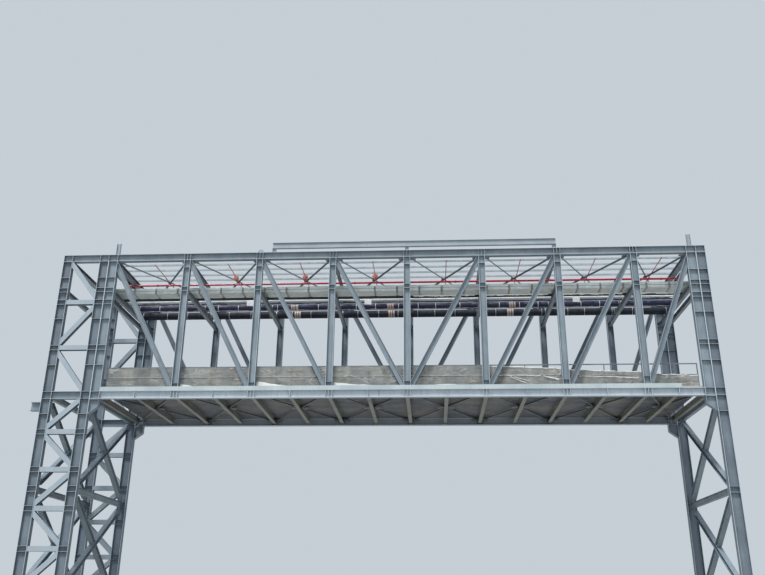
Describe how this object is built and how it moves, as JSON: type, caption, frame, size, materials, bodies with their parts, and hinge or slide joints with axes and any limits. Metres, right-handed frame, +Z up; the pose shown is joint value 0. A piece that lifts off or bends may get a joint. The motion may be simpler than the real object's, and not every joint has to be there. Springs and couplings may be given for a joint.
{
  "type": "industrial pipe bridge",
  "caption": "Elevated steel pipe and walkway bridge: two deep trusses on a braced tower and end columns, with a ribbed deck, kerbs, rails, insulated pipes, duct and open roof frame.",
  "frame": {"origin": "ground level under the middle of the whole bridge", "axes": "+X along the bridge to the right, +Y to the back, +Z up"},
  "size_m": [35.32, 7.4, 20.29],
  "materials": {
    "structural_steel": "satin",
    "galvanised_steel": "matte",
    "kerb_paint": "satin",
    "concrete": "matte",
    "sheeting": "matte",
    "dark_cladding": "satin",
    "light_cladding": "satin",
    "duct_wrap": "matte",
    "red_paint": "gloss",
    "cream_paint": "satin"
  },
  "bodies": {
    "root": {"base_plates": "structural_steel", "bearing_plates": "structural_steel", "bottom_chords": "structural_steel", "cable_trunking": "galvanised_steel", "corbels": "structural_steel", "cross_frame_beams": "structural_steel", "cross_frame_braces_falling": "structural_steel", "cross_frame_braces_rising": "structural_steel", "cross_frame_gussets": "structural_steel", "dark_pipes": "dark_cladding", "deck_bracing": "structural_steel", "deck_cross_beams": "structural_steel", "deck_gussets": "structural_steel", "deck_sheet": "galvanised_steel", "deck_slab": "concrete", "duct": "duct_wrap", "end_posts": "structural_steel", "far_sheeting": "sheeting", "guard_rails": "galvanised_steel", "kerbs": "kerb_paint", "light_pipes": "light_cladding", "near_sheeting": "sheeting", "outer_stub_beams": "structural_steel", "pipe_shoes": "structural_steel", "rack_beams": "structural_steel", "right_columns": "structural_steel", "roof_beams": "structural_steel", "roof_braces_lower": "structural_steel", "roof_braces_upper": "structural_steel", "roof_gussets": "structural_steel", "roof_purlins": "galvanised_steel", "sprinkler_branches": "red_paint", "sprinkler_hangers": "galvanised_steel", "sprinkler_main": "red_paint", "stub_posts": "cream_paint", "top_beam": "cream_paint", "top_beam_posts": "cream_paint", "top_chords": "structural_steel", "tower_beams": "structural_steel", "tower_braces": "structural_steel", "tower_columns": "structural_steel", "tower_struts": "structural_steel", "truss_diagonals": "structural_steel", "truss_verticals": "structural_steel"}
  },
  "joints": []
}
